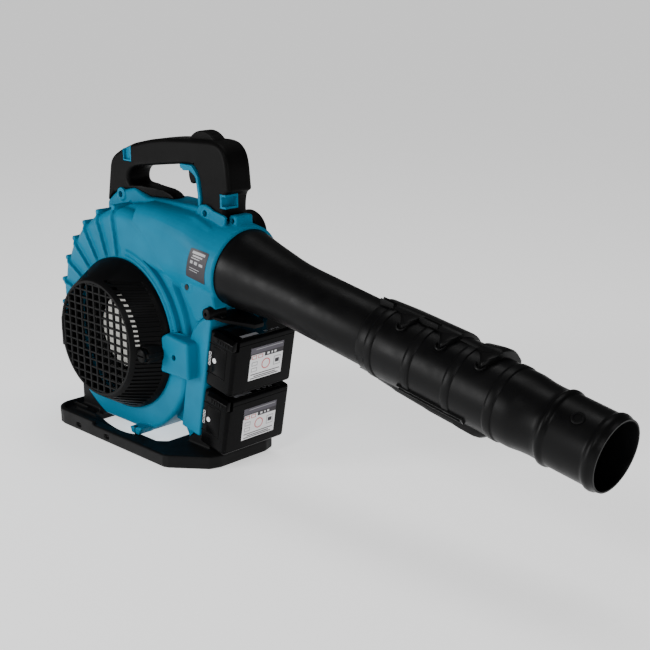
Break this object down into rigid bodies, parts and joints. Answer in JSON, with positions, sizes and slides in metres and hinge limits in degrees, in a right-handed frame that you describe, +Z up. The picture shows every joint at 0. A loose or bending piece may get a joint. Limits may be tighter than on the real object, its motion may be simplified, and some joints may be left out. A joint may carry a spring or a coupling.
{
  "type": "hand-held cordless leaf blower",
  "caption": "Hand-held cordless leaf blower with a snail-shaped fan housing, hinged intake grille, stretching nozzle and slide-in battery packs on a base loop.",
  "frame": {"origin": "underside of the base's front bar, on the tool's middle plane", "axes": "+X the way the nozzle blows, -Y the intake side, +Z up"},
  "size_m": [0.8057, 0.1745, 0.389],
  "materials": {
    "teal_shell": "satin teal moulding",
    "black_body": "fine-grained black moulding",
    "black_gloss": "smooth black plastic",
    "white_fan": "off-white fan plastic",
    "steel": "bright steel",
    "copper": "copper winding",
    "board": "green circuit board",
    "motor_metal": "cast motor metal"
  },
  "bodies": {
    "body": {"housing_left": "teal_shell", "housing_right": "teal_shell", "base_frame": "black_body", "base_screw_left": "steel", "base_screw_right": "steel", "handle_left": "black_body", "handle_right": "black_body", "grip_trim": "teal_shell", "strap_eye_front": "teal_shell", "strap_eye_rear": "teal_shell", "collar_cap": "black_body", "collar_screw": "steel", "front_handle_screw": "steel", "rear_handle_screw": "steel", "web_screw": "steel", "lock_block_screw": "steel", "battery_holder": "teal_shell", "controller_case": "black_gloss", "controller_board": "board", "terminal_block_upper": "black_gloss", "terminal_block_lower": "black_gloss", "motor_can": "motor_metal", "motor_stator": "copper", "motor_end_bell": "motor_metal", "bearing_front": "steel", "bearing_rear": "steel", "motor_cover": "black_body", "trigger_switch": "black_gloss", "trigger_pin": "steel", "cruise_pin": "steel", "latch_pin": "steel", "intake_hinge_pin": "steel", "blower_pipe": "black_body"},
    "fan": {"impeller": "white_fan", "impeller_nose": "white_fan", "motor_shaft": "steel", "motor_rotor": "motor_metal"},
    "trigger": {"trigger": "black_body"},
    "cruise": {"cruise_lever": "black_body"},
    "cover": {"intake_cover": "black_body"},
    "lock_screw": {"cover_lock_screw": "black_body"},
    "latch": {"nozzle_latch": "black_body"},
    "extension": {"nozzle_extension": "black_body"},
    "pack_upper": {"pack_upper_case": "black_body", "pack_upper_gauge": "black_gloss"},
    "release_upper": {"pack_upper_release": "black_body"},
    "check_upper": {"pack_upper_check_button": "white_fan"},
    "pack_lower": {"pack_lower_case": "black_body", "pack_lower_gauge": "black_gloss"},
    "release_lower": {"pack_lower_release": "black_body"},
    "check_lower": {"pack_lower_check_button": "white_fan"}
  },
  "joints": [
    {"name": "fan_spin", "type": "hinge", "parent": "body", "child": "fan", "pos_m": [-0.124, 0, 0.136], "axis": [0, 1, 0], "continuous": true},
    {"name": "trigger_pull", "type": "hinge", "parent": "body", "child": "trigger", "pos_m": [-0.014, 0, 0.3505], "axis": [0, 1, 0], "range_deg": [0, 12], "stiffness_Nm_per_rad": 0.4, "springref_deg": -5.73},
    {"name": "cruise_turn", "type": "hinge", "parent": "body", "child": "cruise", "pos_m": [-0.01, 0, 0.359], "axis": [0, 1, 0], "range_deg": [0, 28]},
    {"name": "cover_swing", "type": "hinge", "parent": "body", "child": "cover", "pos_m": [-0.226, -0.062, 0.132], "axis": [0, 0, 1], "range_deg": [-110, 0]},
    {"name": "lock_screw_turn", "type": "hinge", "parent": "cover", "child": "lock_screw", "pos_m": [-0.039, -0.08, 0.1315], "axis": [0, 1, 0], "range_deg": [0, 90]},
    {"name": "latch_press", "type": "hinge", "parent": "body", "child": "latch", "pos_m": [0.041, -0.038, 0.191], "axis": [0, 1, 0], "range_deg": [0, 6], "stiffness_Nm_per_rad": 0.3, "springref_deg": -5.73},
    {"name": "extension_slide", "type": "slide", "parent": "body", "child": "extension", "axis": [0.9839, 0, -0.1788], "range_m": [-0.1, 0]},
    {"name": "pack_upper_slide", "type": "slide", "parent": "body", "child": "pack_upper", "axis": [0, -1, 0], "range_m": [0, 0.115]},
    {"name": "release_upper_press", "type": "slide", "parent": "pack_upper", "child": "release_upper", "axis": [0, 1, 0], "range_m": [0, 0.003], "stiffness_N_per_m": 300, "springref_m": -0.002},
    {"name": "check_upper_press", "type": "slide", "parent": "pack_upper", "child": "check_upper", "axis": [0, 1, 0], "range_m": [0, 0.001], "stiffness_N_per_m": 300, "springref_m": -0.001},
    {"name": "pack_lower_slide", "type": "slide", "parent": "body", "child": "pack_lower", "axis": [0, -1, 0], "range_m": [0, 0.115]},
    {"name": "release_lower_press", "type": "slide", "parent": "pack_lower", "child": "release_lower", "axis": [0, 1, 0], "range_m": [0, 0.003], "stiffness_N_per_m": 300, "springref_m": -0.002},
    {"name": "check_lower_press", "type": "slide", "parent": "pack_lower", "child": "check_lower", "axis": [0, 1, 0], "range_m": [0, 0.001], "stiffness_N_per_m": 300, "springref_m": -0.001}
  ]
}
